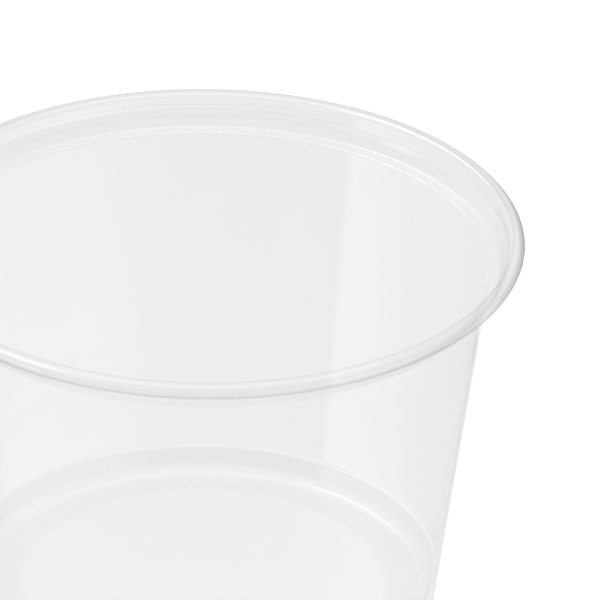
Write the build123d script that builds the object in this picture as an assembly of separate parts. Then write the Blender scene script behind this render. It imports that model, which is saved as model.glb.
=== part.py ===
"""Clear round deli container: one thin moulding turned about the Z axis, in millimetres.

The standing skirt rests on Z = 0 with its centre at the origin, and the open mouth faces +Z.
"""
import os

from build123d import *

# Wall of the moulding
sheet = 0.4

# Rim: a solid round bead that the lid clips over, and the short neck below it
rim_diameter = 117.3
overall_height = 78.0
bead_diameter = 3.0
neck_height = 4.7
neck_inset = 0.75
neck_flare = 0.8
groove_start = 1.7
groove_rise = 1.1

# Ledge that a nested container rests on
ledge_width = 2.0
ledge_drop = 0.35

# Tapered wall: its outside runs straight from the ledge to the foot of the skirt
wall_foot_diameter = 86.4
skirt_thickness = 0.6

# Inner shoulder and the thicker band below it
shoulder_height = 8.3
shoulder_width = 0.95
shoulder_drop = 0.3
band_draft = 0.45

# Floor, held above the foot of the skirt, with a raised panel
floor_height = 2.4
floor_corner = 1.7
floor_ring_width = 1.8
panel_slope_width = 5.4
panel_rise = 1.0

# Rounds that follow from the sizes above
ledge_round_out = sheet + 0.1 * ledge_width
ledge_round_in = 0.3 * ledge_width
shoulder_round_out = sheet + 0.1 * shoulder_width
shoulder_round_in = 0.25 * shoulder_width
neck_round = sheet + 0.25
panel_round = 2.5 * panel_rise + sheet

# Heights and radii of the inside face, from the rim to the floor
bead_radius = bead_diameter / 2
bead_centre_r = rim_diameter / 2 - bead_radius
bead_centre_z = overall_height - bead_radius
bead_inner_r = bead_centre_r - bead_radius
neck_r = bead_inner_r - neck_inset
ledge_z = bead_centre_z - neck_height
groove_low_z = ledge_z + groove_start
groove_high_z = groove_low_z + groove_rise
ledge_r = neck_r - neck_flare
wall_top_r = ledge_r - ledge_width
wall_top_z = ledge_z - ledge_drop
foot_r = wall_foot_diameter / 2
wall_slope = (wall_top_r + sheet - foot_r) / wall_top_z
wall_shoulder_r = foot_r + wall_slope * shoulder_height - sheet
band_top_r = wall_shoulder_r - shoulder_width
band_r = band_top_r - band_draft
ring_inner_r = band_r - floor_corner - floor_ring_width
panel_r = ring_inner_r - panel_slope_width
floor_z = floor_height + sheet

# Inside face of the moulding from the axis outward and up to the bead
inside_points = [
    (0, floor_z + panel_rise),
    (panel_r, floor_z + panel_rise),
    (ring_inner_r, floor_z),
    (band_r, floor_z),
    (band_top_r, shoulder_height - shoulder_drop),
    (wall_shoulder_r, shoulder_height),
    (wall_top_r, wall_top_z),
    (ledge_r, ledge_z),
    (neck_r, groove_low_z),
    (bead_inner_r, groove_high_z),
    (bead_inner_r, bead_centre_z),
]
inside_rounds = [
    panel_round,
    panel_round,
    floor_corner,
    shoulder_round_out,
    shoulder_round_in,
    ledge_round_out,
    ledge_round_in,
    neck_round,
    neck_round,
]
inside_line = Plane.XZ * FilletPolyline(*inside_points, radius=inside_rounds)
sheet_section = make_face(offset(inside_line.wire(), amount=sheet, side=Side.LEFT, closed=True).edges())

# Solid bead on top of the neck
bead_section = Plane.XZ * Pos(bead_centre_r, bead_centre_z) * Circle(bead_radius)

# Band and standing skirt: they fill out to the straight line of the wall and go down to the table
skirt_top_z = shoulder_height + sheet
skirt_points = [
    (foot_r + wall_slope * skirt_top_z, skirt_top_z),
    (foot_r, 0),
    (foot_r - skirt_thickness, 0),
    (band_r + sheet / 2, floor_height + floor_corner),
    (band_top_r + sheet / 2, shoulder_height - shoulder_drop),
    (foot_r + wall_slope * skirt_top_z - sheet / 2, skirt_top_z),
]
skirt_section = make_face(Plane.XZ * Polyline(*skirt_points, close=True))

container = Part() + [revolve(face, axis=Axis.Z) for face in (sheet_section, bead_section, skirt_section)]

os.makedirs("parts", exist_ok=True)
export_step(container, "parts/container.step")
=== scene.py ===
"""Clear round deli container on a white table, seen from a little above its open mouth."""
import math

import bpy
import numpy as np
from mathutils import Matrix, Vector


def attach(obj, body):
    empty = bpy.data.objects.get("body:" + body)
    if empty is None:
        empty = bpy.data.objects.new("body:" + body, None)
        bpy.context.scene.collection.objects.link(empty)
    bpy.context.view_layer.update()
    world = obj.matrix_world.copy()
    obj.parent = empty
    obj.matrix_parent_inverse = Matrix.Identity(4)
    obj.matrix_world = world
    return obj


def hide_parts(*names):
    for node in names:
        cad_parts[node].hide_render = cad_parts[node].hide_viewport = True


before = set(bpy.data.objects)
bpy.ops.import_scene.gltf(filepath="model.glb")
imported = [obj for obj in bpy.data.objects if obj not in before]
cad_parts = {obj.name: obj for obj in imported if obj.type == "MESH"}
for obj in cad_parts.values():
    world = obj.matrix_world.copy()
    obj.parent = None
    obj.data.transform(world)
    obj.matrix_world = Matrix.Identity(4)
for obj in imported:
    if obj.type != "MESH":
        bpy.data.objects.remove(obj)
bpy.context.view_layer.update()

# Sizes of the container in metres, the same as the solid's
MM = 0.001
SHEET = 0.4 * MM
RIM_R = 117.3 / 2 * MM
HEIGHT = 78.0 * MM
BEAD_R = 1.5 * MM
NECK_HEIGHT = 4.7 * MM
NECK_INSET = 0.75 * MM
NECK_FLARE = 0.8 * MM
GROOVE_START = 1.7 * MM
GROOVE_RISE = 1.1 * MM
LEDGE_WIDTH = 2.0 * MM
LEDGE_DROP = 0.35 * MM
FOOT_R = 86.4 / 2 * MM
SKIRT = 0.6 * MM
SHOULDER_HEIGHT = 8.3 * MM
SHOULDER_WIDTH = 0.95 * MM
SHOULDER_DROP = 0.3 * MM
BAND_DRAFT = 0.45 * MM
FLOOR_HEIGHT = 2.4 * MM
FLOOR_CORNER = 1.7 * MM
FLOOR_RING_WIDTH = 1.8 * MM
PANEL_SLOPE_WIDTH = 5.4 * MM
PANEL_RISE = 1.0 * MM

# Heights and radii of the inside face that follow from the sizes, from the rim to the floor
BEAD_CENTRE_R = RIM_R - BEAD_R
BEAD_CENTRE_Z = HEIGHT - BEAD_R
BEAD_INNER_R = BEAD_CENTRE_R - BEAD_R
NECK_R = BEAD_INNER_R - NECK_INSET
LEDGE_Z = BEAD_CENTRE_Z - NECK_HEIGHT
GROOVE_LOW_Z = LEDGE_Z + GROOVE_START
GROOVE_HIGH_Z = GROOVE_LOW_Z + GROOVE_RISE
LEDGE_R = NECK_R - NECK_FLARE
WALL_TOP_R = LEDGE_R - LEDGE_WIDTH
WALL_TOP_Z = LEDGE_Z - LEDGE_DROP
WALL_SLOPE = (WALL_TOP_R + SHEET - FOOT_R) / WALL_TOP_Z
WALL_SHOULDER_R = FOOT_R + WALL_SLOPE * SHOULDER_HEIGHT - SHEET
BAND_TOP_R = WALL_SHOULDER_R - SHOULDER_WIDTH
BAND_R = BAND_TOP_R - BAND_DRAFT
RING_INNER_R = BAND_R - FLOOR_CORNER - FLOOR_RING_WIDTH
PANEL_R = RING_INNER_R - PANEL_SLOPE_WIDTH
FLOOR_Z = FLOOR_HEIGHT + SHEET

# Rounds of the inside face
PANEL_ROUND = 2.5 * PANEL_RISE + SHEET
SHOULDER_ROUND_OUT = SHEET + 0.1 * SHOULDER_WIDTH
SHOULDER_ROUND_IN = 0.25 * SHOULDER_WIDTH
LEDGE_ROUND_OUT = SHEET + 0.1 * LEDGE_WIDTH
LEDGE_ROUND_IN = 0.3 * LEDGE_WIDTH
NECK_ROUND = SHEET + 0.25 * MM

# Fineness of the mesh
AROUND = 220
BEAD_POINTS = 90
SHORT_RUN_POINTS = 6
LONG_RUN_POINTS = 24
LONG_RUN = 30 * MM
ARC_POINTS = 4
ARC_STEP = math.radians(7)
SAME_PLACE = 0.0001 * MM
BEAD_JOIN_GAP = 0.05 * MM

# Finish of the plastic; CLEAREST is its lightest colour, which the painted shade darkens, and
# BAND_SIDE_LOSS fades the painted dark band where it is seen edge on
CLEAREST = 0.998
FLOOR_GLOSS_LOSS = 0.45
BAND_SIDE_LOSS = 0.4
HAZE_SCALE = 60.0
WAVE_SCALE = (55.0, 55.0, 14.0)
WAVE_STRENGTH = 0.03

# Brightness of the studio's surroundings, where 1 is white
WHITE = (1.0, 1.0, 1.0, 1.0)
BENT_LIGHT = 0.882
OPEN_LIGHT = 0.55
CAMERA_SIDE_LIGHT = 0.6
FAR_SIDE_LIGHT = 0.77
LEFT_PANEL_LIGHT = 1.3
RIGHT_PANEL_LIGHT = 1.1
NEAR_TABLE_LIGHT = 1.15
FAR_TABLE_LIGHT = 0.82
NEAR_UPPER_LIGHT = 0.3
FAR_UPPER_LIGHT = 0.8
CEILING_LIGHT = 1.4
SIDE_LAMP_LIGHT = 1.8
HIGH_LAMP_LIGHT = 5.5
DARK_FLAG_LIGHT = 0.02

# Table top
TABLE_R = 4.0
TABLE_POINTS = 96
TABLE_GREY = (0.5, 0.5, 0.5, 1.0)
TABLE_LIFT = 0.75

# Camera: its distance from the middle of the rim, its angles in degrees and its lens
CAMERA_DISTANCE = 1.5
CAMERA_RISE = 28.2
CAMERA_TILT_DOWN = 28.6208
CAMERA_TURN_RIGHT = 0.7563
CAMERA_ROLL = 0.8663
SENSOR_WIDTH = 36.0
PHOTO_PIXELS = 600
FOCAL_PIXELS = 8162.3


class Value:
    """A number socket of a node tree; arithmetic on it adds Math nodes."""

    def __init__(self, graph, socket):
        self.graph = graph
        self.socket = socket

    def math(self, operation, first, second=0.0):
        made = self.graph.add("ShaderNodeMath", {"operation": operation}, {0: first, 1: second})
        return Value(self.graph, made.outputs[0])

    def __add__(self, other):
        return self.math("ADD", self, other)

    def __radd__(self, other):
        return self.math("ADD", other, self)

    def __sub__(self, other):
        return self.math("SUBTRACT", self, other)

    def __rsub__(self, other):
        return self.math("SUBTRACT", other, self)

    def __mul__(self, other):
        return self.math("MULTIPLY", self, other)

    def __rmul__(self, other):
        return self.math("MULTIPLY", other, self)

    def __truediv__(self, other):
        return self.math("DIVIDE", self, other)

    def root(self):
        return self.math("SQRT", self)

    def largest(self, other):
        return self.math("MAXIMUM", self, other)

    def toward(self, other, share):
        """This value moved towards another one by a share from 0 to 1."""
        return self + (other - self) * share

    def rise(self, low, high):
        """Rises smoothly from 0 at low to 1 at high."""
        made = self.graph.add(
            "ShaderNodeMapRange",
            {"interpolation_type": "SMOOTHSTEP"},
            {"Value": self, "From Min": low, "From Max": high},
        )
        return Value(self.graph, made.outputs["Result"])

    def fall(self, low, high):
        """Falls smoothly from 1 at low to 0 at high."""
        return 1.0 - self.rise(low, high)

    def near(self, middle, reach):
        """Is 1 at the middle and falls smoothly to 0 at a reach on either side."""
        return self.math("ABSOLUTE", self - middle).fall(0.0, reach)


class Graph:
    """A node tree that is filled from an empty start."""

    def __init__(self, tree):
        self.tree = tree
        self.tree.nodes.clear()

    def add(self, kind, settings=None, sockets=None):
        """Makes one node, sets its settings first, then its sockets' values or links."""
        node = self.tree.nodes.new(kind)
        for name, value in (settings or {}).items():
            setattr(node, name, value)
        for name, value in (sockets or {}).items():
            if isinstance(value, Value):
                value = value.socket
            if isinstance(value, bpy.types.NodeSocket):
                self.tree.links.new(value, node.inputs[name])
            else:
                node.inputs[name].default_value = value
        return node

    def value(self, node, output):
        return Value(self, node.outputs[output])

    def axes(self, vector):
        """The three parts of a vector socket."""
        parts = self.add("ShaderNodeSeparateXYZ", None, {0: vector})
        return [self.value(parts, axis) for axis in "XYZ"]

    def noise(self, vector, scale, detail):
        """Soft noise from 0 to 1 over the places in a vector socket."""
        made = self.add("ShaderNodeTexNoise", None, {"Vector": vector, "Scale": scale, "Detail": detail})
        return self.value(made, 0)


# Section of the sheet


def spaced(count):
    """Numbers from 0 to 1 that crowd towards both ends, as half a cosine wave does."""
    return 0.5 - 0.5 * np.cos(np.linspace(0, np.pi, count))


def straight_run(start, end):
    """Points along a straight run, crowded at its ends, each with the run's direction."""
    reach = end - start
    length = np.linalg.norm(reach)
    count = SHORT_RUN_POINTS + int(LONG_RUN_POINTS * min(1.0, length / LONG_RUN))
    points = start + reach * spaced(count)[:, None]
    return points, np.repeat((reach / length)[None, :], count, axis=0)


def round_corner(corner, before, after, radius):
    """Arc that touches both runs at a corner, with its direction at each point.

    It starts radius * tan(half the turn) before the corner, and its centre lies a radius to the
    side that the line turns to.
    """
    turn = math.atan2(before[0] * after[1] - before[1] * after[0], float(np.dot(before, after)))
    across = np.array([-before[1], before[0]])
    start = corner - before * radius * math.tan(abs(turn) / 2)
    centre = start + across * math.copysign(radius, turn)
    angle = np.linspace(0, turn, ARC_POINTS + int(abs(turn) / ARC_STEP))[:, None]
    spoke = start - centre
    square = np.array([-spoke[1], spoke[0]])
    points = centre + spoke * np.cos(angle) + square * np.sin(angle)
    return points, before * np.cos(angle) + across * np.sin(angle)


def rounded_line(corners, radii):
    """Straight runs between the corners with an arc at each inner corner: points and directions."""
    corners = np.array(corners, dtype=float)
    runs = np.diff(corners, axis=0)
    runs /= np.linalg.norm(runs, axis=1)[:, None]
    arcs = [round_corner(*item) for item in zip(corners[1:-1], runs[:-1], runs[1:], radii)]
    starts = [corners[0]] + [arc[0][-1] for arc in arcs]
    ends = [arc[0][0] for arc in arcs] + [corners[-1]]
    lines = [straight_run(start, end) for start, end in zip(starts, ends)]
    pieces = [lines[0]]
    for arc, line in zip(arcs, lines[1:]):
        pieces += [arc, line]
    points = np.concatenate([piece[0] for piece in pieces])
    directions = np.concatenate([piece[1] for piece in pieces])
    fresh = np.append(True, np.linalg.norm(np.diff(points, axis=0), axis=1) > SAME_PLACE)
    return points[fresh], directions[fresh]


def inside_face():
    """Line of the inside face in radius and height, from the axis over the floor and up to the bead."""
    corners = [
        (0, FLOOR_Z + PANEL_RISE),
        (PANEL_R, FLOOR_Z + PANEL_RISE),
        (RING_INNER_R, FLOOR_Z),
        (BAND_R, FLOOR_Z),
        (BAND_TOP_R, SHOULDER_HEIGHT - SHOULDER_DROP),
        (WALL_SHOULDER_R, SHOULDER_HEIGHT),
        (WALL_TOP_R, WALL_TOP_Z),
        (LEDGE_R, LEDGE_Z),
        (NECK_R, GROOVE_LOW_Z),
        (BEAD_INNER_R, GROOVE_HIGH_Z),
        (BEAD_INNER_R, BEAD_CENTRE_Z),
    ]
    radii = [
        PANEL_ROUND,
        PANEL_ROUND,
        FLOOR_CORNER,
        SHOULDER_ROUND_OUT,
        SHOULDER_ROUND_IN,
        LEDGE_ROUND_OUT,
        LEDGE_ROUND_IN,
        NECK_ROUND,
        NECK_ROUND,
    ]
    return rounded_line(corners, radii)


def bead_face():
    """Circle of the bead in radius and height, from the rim's inside over its top to the neck's outside."""
    neck_join = math.acos(1 - SHEET / BEAD_R)
    turn = np.linspace(math.pi, neck_join - math.pi, BEAD_POINTS)[1:]
    return np.stack([BEAD_CENTRE_R + BEAD_R * np.cos(turn), BEAD_CENTRE_Z + BEAD_R * np.sin(turn)], axis=1)


def skirt_face(floor_side):
    """Three straight runs: down the foot's outside, across the table and up to the floor's underside."""
    top = SHOULDER_HEIGHT + 2 * SHEET
    corners = [
        (FOOT_R + WALL_SLOPE * top, top),
        (FOOT_R, 0.0),
        (FOOT_R - SKIRT, 0.0),
        (FOOT_R - SKIRT, floor_side),
    ]
    return rounded_line(corners, [0.0, 0.0])[0]


def container_section():
    """Outline of the moulding in radius and height, from the axis round to the axis again.

    The inside face runs over the floor, up the wall and round the bead of the rim. The outside face
    is the same line moved by the sheet's thickness, except at the foot: there the straight line of
    the wall goes on down to the table as a skirt below the floor.
    """
    inside, way = inside_face()
    bead = bead_face()
    outside = inside + SHEET * np.stack([way[:, 1], -way[:, 0]], axis=1)
    radius, height = outside.T
    under_floor = outside[(radius < FOOT_R - SKIRT) & (height < SHOULDER_HEIGHT)]
    wall = outside[(height > SHOULDER_HEIGHT + 2 * SHEET) & (height < bead[-1, 1] - BEAD_JOIN_GAP)]
    skirt = skirt_face(under_floor[-1, 1])
    return np.concatenate([inside, bead, wall[::-1], skirt, under_floor[::-1]])


def turned_mesh(name, section, around):
    """Surface turned about Z: each section point (r, z) becomes a ring (r cos t, r sin t, z).

    The section starts and ends on the axis, so its first and last points are single poles.
    """
    rings = section[1:-1]
    angle = np.arange(around) * (2 * np.pi / around)
    x = rings[:, :1] * np.cos(angle)
    y = rings[:, :1] * np.sin(angle)
    z = np.repeat(rings[:, 1:], around, axis=1)
    body = np.stack([x, y, z], axis=2).reshape(-1, 3)
    poles = np.array([[0, 0, section[0, 1]], [0, 0, section[-1, 1]]])
    points = np.concatenate([body, poles])
    here = np.arange(around)
    after = (here + 1) % around
    row = np.arange(len(rings) - 1)[:, None] * around
    next_row = row + around
    quads = np.stack([next_row + here, next_row + after, row + after, row + here], axis=2).reshape(-1, 4)
    last = next_row[-1]
    first_cap = np.stack([here, after, np.full(around, len(body))], axis=1)
    last_cap = np.stack([last + after, last + here, np.full(around, len(body) + 1)], axis=1)
    faces = quads.tolist() + first_cap.tolist() + last_cap.tolist()
    mesh = bpy.data.meshes.new(name)
    mesh.from_pydata(points.tolist(), [], faces)
    mesh.polygons.foreach_set("use_smooth", np.ones(len(mesh.polygons), dtype=bool))
    mesh.update()
    piece = bpy.data.objects.new(name, mesh)
    bpy.context.scene.collection.objects.link(piece)
    return piece


# Finish of the container, with painted shade in its colour


def clear_plastic():
    """Clear thin sheet that light crosses straight, with a glossy coat on the side that the light meets.

    Its colour holds painted shade. Each place of the moulding is painted a little darker, evenly all round,
    and some places darker still where they are seen edge on; the bead is painted a little lighter. Below
    the ledge the wall has the slow unevenness of a formed sheet.
    """
    material = bpy.data.materials.new("clear_plastic_sheet")
    material.use_nodes = True
    graph = Graph(material.node_tree)
    place = graph.add("ShaderNodeTexCoord").outputs["Object"]
    x, y, height = graph.axes(place)
    radius = (x * x + y * y).root()
    grazing = graph.value(graph.add("ShaderNodeLayerWeight", None, {"Blend": 0.5}), "Facing")
    edge_on = grazing.rise(0.4, 0.9)
    front_side = 1.0 - graph.value(graph.add("ShaderNodeNewGeometry"), "Backfacing")

    # Floor and foot: places for the gloss and for the painted shade
    low = height.fall(SHOULDER_HEIGHT - 0.5 * MM, SHOULDER_HEIGHT)
    inner = radius.fall(BAND_R - 2.5 * MM, BAND_R)
    panel_slope = inner * radius.rise(PANEL_R, PANEL_R + 2.4 * MM)
    foot = radius.rise(BAND_R - 3.0 * MM, BAND_R - 1.5 * MM)
    foot_corner = foot * height.fall(SHOULDER_HEIGHT, SHOULDER_HEIGHT + 1.0 * MM)
    foot_side = foot * height.fall(SHOULDER_HEIGHT, SHOULDER_HEIGHT + 8.0 * MM) * edge_on
    above_corner = height.rise(FLOOR_Z + 0.8 * MM, FLOOR_Z + 1.6 * MM)
    band = low * above_corner * radius.rise(BAND_R - 2.0 * MM, BAND_R - 1.0 * MM)

    # Ledge and neck: places for the gloss and for the painted shade
    below_ledge = height.fall(LEDGE_Z - 1.0 * MM, LEDGE_Z)
    wall_top = height.rise(LEDGE_Z - 15.0 * MM, LEDGE_Z - 12.0 * MM) * below_ledge
    ledge_line = height.near(WALL_TOP_Z, 0.5 * MM) * edge_on
    neck = (1.0 - below_ledge) * grazing.rise(0.5, 1.0)
    groove_lines = height.near(GROOVE_LOW_Z, 0.5 * MM) + height.near(GROOVE_HIGH_Z, 0.4 * MM)

    # Bead of the rim: places for the painted shade and the painted light
    bead = height.rise(BEAD_CENTRE_Z - 1.2 * BEAD_R, BEAD_CENTRE_Z - 0.8 * BEAD_R)
    bead_top = height.rise(BEAD_CENTRE_Z + 0.5 * BEAD_R, BEAD_CENTRE_Z + 0.8 * BEAD_R)
    crest = bead_top * radius.near(BEAD_CENTRE_R - 0.55 * MM, 0.4 * MM)
    outer = bead * radius.rise(BEAD_CENTRE_R - 0.3 * BEAD_R, RIM_R - 0.2 * BEAD_R)
    under = outer * height.fall(BEAD_CENTRE_Z - 0.4 * BEAD_R, BEAD_CENTRE_Z + 0.6 * BEAD_R) * front_side

    # Gloss, softer where the foot and the top of the wall are seen edge on
    soft_side = foot_corner * grazing.rise(0.35, 0.65) + wall_top * grazing.rise(0.7, 0.95)
    gloss = front_side * (1.0 - low * FLOOR_GLOSS_LOSS) * (1.0 - soft_side)

    # Painted shade: how much darker each place is painted, standing in for shade, dark reflections and the
    # dark edges of bent light; the bead is painted a little lighter, as painted light
    painted_shade_shares = [
        # painted shade, darker towards the top of the wall, on the floor and on the panel's slope
        (height.rise(0.0, HEIGHT), 0.028),
        (low * inner, 0.015),
        (panel_slope, 0.03),
        # painted reflection: a dark band round the inside of the foot that fades where its sides are seen
        # edge on; painted shade on the foot's sides
        (band * (1.0 - soft_side * BAND_SIDE_LOSS), 0.07),
        (foot_side, 0.04),
        # painted shade: dark lines at the ledge and the groove, and the neck darker where it is seen edge
        # on
        (ledge_line, 0.1),
        (neck, 0.08),
        (groove_lines, 0.03),
        (groove_lines * edge_on, 0.05),
        # painted light on the bead, then painted shade at its edges, under it and along its crest
        (bead, -0.02),
        (bead * grazing.rise(0.1, 0.8), 0.05),
        (outer * grazing.rise(0.0, 0.6), 0.16),
        (under, 0.06),
        (under * grazing.rise(0.0, 0.5), 0.15),
        (crest, 0.2),
    ]
    clear = CLEAREST
    for where, share in painted_shade_shares:
        clear = clear - where * share

    # Haze and unevenness
    haze = graph.noise(place, HAZE_SCALE, 3.0)
    stretch = graph.add("ShaderNodeMapping", None, {"Vector": place, "Scale": WAVE_SCALE})
    wave = graph.noise(stretch.outputs[0], 1.0, 1.0) * height.fall(LEDGE_Z - 6.0 * MM, LEDGE_Z - 1.0 * MM)
    bump = graph.add(
        "ShaderNodeBump",
        None,
        {"Strength": WAVE_STRENGTH, "Distance": 1.0 * MM, "Height": wave},
    )
    shader = graph.add(
        "ShaderNodeBsdfPrincipled",
        None,
        {
            "Base Color": clear,
            "Roughness": 0.04 + haze * 0.04,
            "IOR": 1.0,
            "Transmission Weight": 1.0,
            "Coat Weight": gloss,
            "Coat Roughness": 0.06,
            "Coat IOR": 1.7,
            "Normal": bump.outputs[0],
        },
    )
    graph.add("ShaderNodeOutputMaterial", None, {"Surface": shader.outputs[0]})
    return material


# Studio


def white_table():
    """Large round table top: white to the camera and through clear plastic, with a soft shadow."""
    turn = np.arange(TABLE_POINTS) * (2 * np.pi / TABLE_POINTS)
    rim = np.stack([TABLE_R * np.cos(turn), TABLE_R * np.sin(turn), np.zeros(TABLE_POINTS)], axis=1)
    mesh = bpy.data.meshes.new("white_table")
    mesh.from_pydata(rim.tolist(), [], [list(range(TABLE_POINTS))])
    table = bpy.data.objects.new("white_table", mesh)
    bpy.context.scene.collection.objects.link(table)
    material = bpy.data.materials.new("table_white")
    material.use_nodes = True
    graph = Graph(material.node_tree)
    path = graph.add("ShaderNodeLightPath")
    seen = graph.value(path, "Is Camera Ray")
    bent = graph.value(path, "Is Transmission Ray").largest(graph.value(path, "Is Glossy Ray"))
    paper = graph.add("ShaderNodeBsdfDiffuse", None, {"Color": TABLE_GREY})
    lift = graph.add("ShaderNodeEmission", None, {"Color": WHITE, "Strength": seen * TABLE_LIFT})
    lit = graph.add("ShaderNodeAddShader", None, {0: paper.outputs[0], 1: lift.outputs[0]})
    clear = graph.add("ShaderNodeBsdfTransparent")
    shader = graph.add("ShaderNodeMixShader", None, {0: bent, 1: lit.outputs[0], 2: clear.outputs[0]})
    graph.add("ShaderNodeOutputMaterial", None, {"Surface": shader.outputs[0]})
    mesh.materials.append(material)


def mirrored_room(x, y, z):
    """Brightness of the room that the gloss mirrors, in each direction (x, y, z).

    East and north are the direction's turn about Z. Below the horizon there are a dim camera side,
    a far side, two tall panels and the table; above it a dim room, a ceiling and two lamps. A dark
    flag stands behind the container on the right.
    """
    flat = (x * x + y * y).root().largest(0.001)
    east = x / flat
    north = y / flat
    left_panel = east.fall(-0.87, -0.84) * north.fall(-0.5, 0.6)
    right_panel = east.rise(0.2, 0.8) * north.fall(0.2, 0.7)
    table = NEAR_TABLE_LIGHT + north.rise(-0.2, 0.6) * (FAR_TABLE_LIGHT - NEAR_TABLE_LIGHT)
    lower = CAMERA_SIDE_LIGHT * z.rise(-0.34, -0.24)
    lower = lower.toward(FAR_SIDE_LIGHT, north.rise(-0.3, 0.3))
    lower = lower.toward(LEFT_PANEL_LIGHT, left_panel)
    lower = lower.toward(RIGHT_PANEL_LIGHT, right_panel)
    lower = lower.toward(table, z.fall(-0.52, -0.42))
    side_lamp = x.near(-0.86, 0.1) * y.near(-0.08, 0.4) * z.near(0.46, 0.1)
    high_lamp = x.near(-0.63, 0.22) * y.near(0.15, 0.7) * z.rise(0.3, 0.4)
    upper = NEAR_UPPER_LIGHT + north.rise(-0.3, 0.5) * (FAR_UPPER_LIGHT - NEAR_UPPER_LIGHT)
    upper = upper.toward(CEILING_LIGHT, z.rise(0.78, 0.9))
    upper = upper.toward(SIDE_LAMP_LIGHT, side_lamp)
    upper = upper.toward(HIGH_LAMP_LIGHT, high_lamp)
    flag_turn = east.rise(0.15, 0.35) * east.fall(0.8, 0.95) * north.rise(0.2, 0.4)
    dark_flag = flag_turn * z.rise(-0.47, -0.4) * z.fall(0.25, 0.45)
    return lower.toward(upper, z.rise(-0.12, 0.08)).toward(DARK_FLAG_LIGHT, dark_flag)


def studio_world():
    """White to the camera, an even grey through the plastic and a soft room mirrored in its gloss."""
    world = bpy.data.worlds.new("soft_studio")
    bpy.context.scene.world = world
    world.use_nodes = True
    graph = Graph(world.node_tree)
    way = graph.add("ShaderNodeTexCoord").outputs["Generated"]
    room = mirrored_room(*graph.axes(way))
    path = graph.add("ShaderNodeLightPath")
    seen = graph.value(path, "Is Camera Ray")
    bent = graph.value(path, "Is Transmission Ray")
    mirrored = graph.value(path, "Glossy Depth").rise(0.0, 1.0)
    in_plastic = BENT_LIGHT + (room - BENT_LIGHT) * mirrored
    unseen = OPEN_LIGHT + (in_plastic - OPEN_LIGHT) * bent.largest(mirrored)
    strength = unseen.toward(1.0, seen)
    light = graph.add("ShaderNodeBackground", None, {"Color": WHITE, "Strength": strength})
    graph.add("ShaderNodeOutputWorld", None, {"Surface": light.outputs[0]})


def soft_lamp(name, place, size, watts):
    """Square soft lamp that faces the middle of the container."""
    data = bpy.data.lights.new(name, "AREA")
    data.shape = "SQUARE"
    data.size = size
    data.energy = watts
    lamp = bpy.data.objects.new(name, data)
    aim = Vector((0.0, 0.0, HEIGHT / 2)) - Vector(place)
    lamp.location = place
    lamp.rotation_euler = aim.to_track_quat("-Z", "Y").to_euler()
    lamp.visible_glossy = False
    lamp.visible_transmission = False
    bpy.context.scene.collection.objects.link(lamp)


def photo_camera():
    """Long lens that looks down into the mouth, aimed a little below and right of the rim's middle."""
    rise = math.radians(CAMERA_RISE)
    back = CAMERA_DISTANCE * math.cos(rise)
    up = CAMERA_DISTANCE * math.sin(rise)
    turn = Matrix.Rotation(-math.radians(CAMERA_TURN_RIGHT), 4, "Z")
    tilt = Matrix.Rotation(math.radians(90.0 - CAMERA_TILT_DOWN), 4, "X")
    roll = Matrix.Rotation(math.radians(CAMERA_ROLL), 4, "Z")
    data = bpy.data.cameras.new("photo_camera")
    data.sensor_width = SENSOR_WIDTH
    data.lens = FOCAL_PIXELS / PHOTO_PIXELS * SENSOR_WIDTH
    data.clip_end = 50.0
    camera = bpy.data.objects.new("photo_camera", data)
    camera.matrix_world = Matrix.Translation((0.0, -back, BEAD_CENTRE_Z + up)) @ turn @ tilt @ roll
    bpy.context.scene.collection.objects.link(camera)
    bpy.context.scene.camera = camera


# Container
container = turned_mesh("clear_container", container_section(), AROUND)
container.data.materials.append(clear_plastic())
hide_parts("container")
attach(container, "root")

# Studio, lamp and camera
white_table()
studio_world()
soft_lamp("overhead_lamp", (-0.3, 0.2, 1.6), 1.2, 14.0)
photo_camera()
bpy.context.scene.view_settings.view_transform = "Standard"
